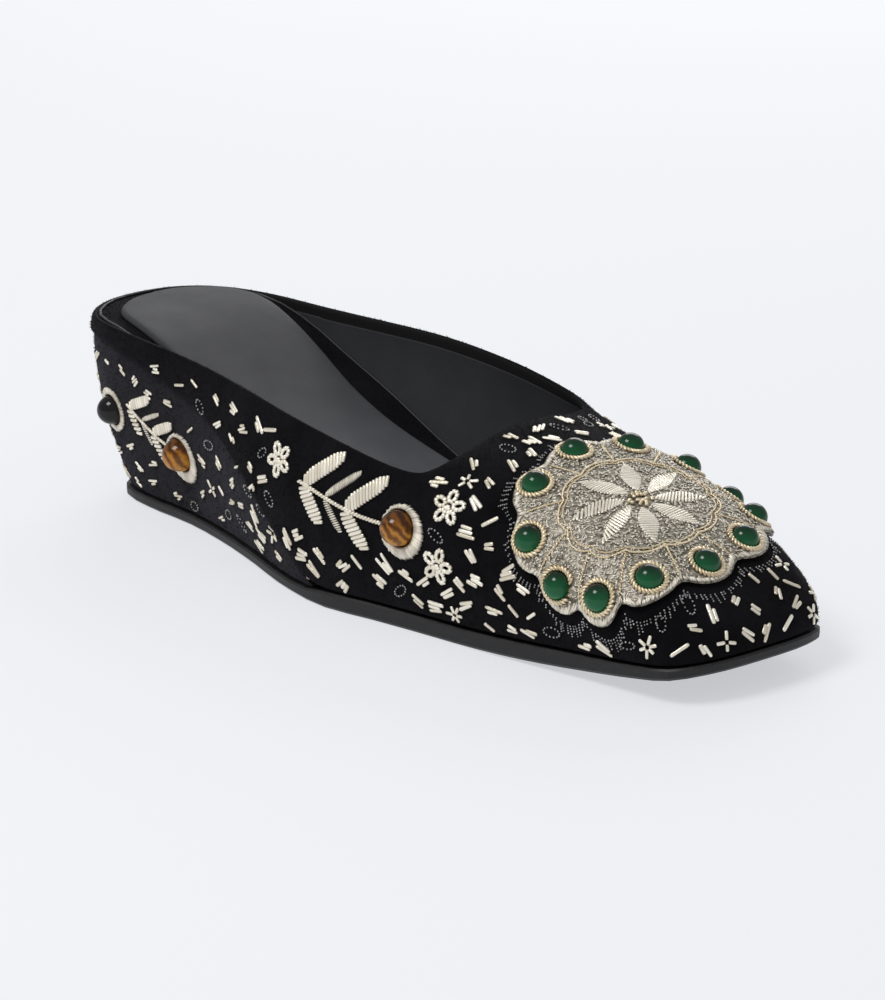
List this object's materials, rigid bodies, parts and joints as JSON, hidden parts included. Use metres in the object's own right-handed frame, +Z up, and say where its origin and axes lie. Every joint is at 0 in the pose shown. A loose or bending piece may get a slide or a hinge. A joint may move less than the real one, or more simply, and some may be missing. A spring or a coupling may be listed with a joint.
{
  "type": "wedge mule",
  "caption": "Backless slip-on right shoe with a square toe, velvet-covered wedge heel, hollow velvet upper, leather sock and a jewelled embroidered medallion on the vamp.",
  "frame": {"origin": "floor under the middle of the shoe's bounding box", "axes": "+X from heel to toe, +Y towards the inner side of the foot, +Z up from the floor"},
  "size_m": [0.2532, 0.0888, 0.0538],
  "materials": {
    "outsole": "smooth black sole edge, satin",
    "velvet": "black velvet with a short nap",
    "sock_leather": "smooth dark grey leather, satin",
    "thread": "pale gold and silver metal thread",
    "green_stone": "polished opaque green",
    "brown_stone": "polished banded brown",
    "dark_stone": "polished near black"
  },
  "bodies": {
    "root": {"outsole": "outsole", "wedge": "velvet", "upper": "velvet", "footbed": "velvet", "sock": "sock_leather", "medallion": "thread", "green_stone_1": "green_stone", "green_stone_2": "green_stone", "green_stone_3": "green_stone", "green_stone_4": "green_stone", "green_stone_5": "green_stone", "green_stone_6": "green_stone", "green_stone_7": "green_stone", "green_stone_8": "green_stone", "green_stone_9": "green_stone", "green_stone_10": "green_stone", "green_stone_11": "green_stone", "green_stone_12": "green_stone", "brown_stone_1": "brown_stone", "brown_stone_2": "brown_stone", "brown_stone_3": "brown_stone", "brown_stone_4": "brown_stone", "dark_stone": "dark_stone"}
  },
  "joints": []
}
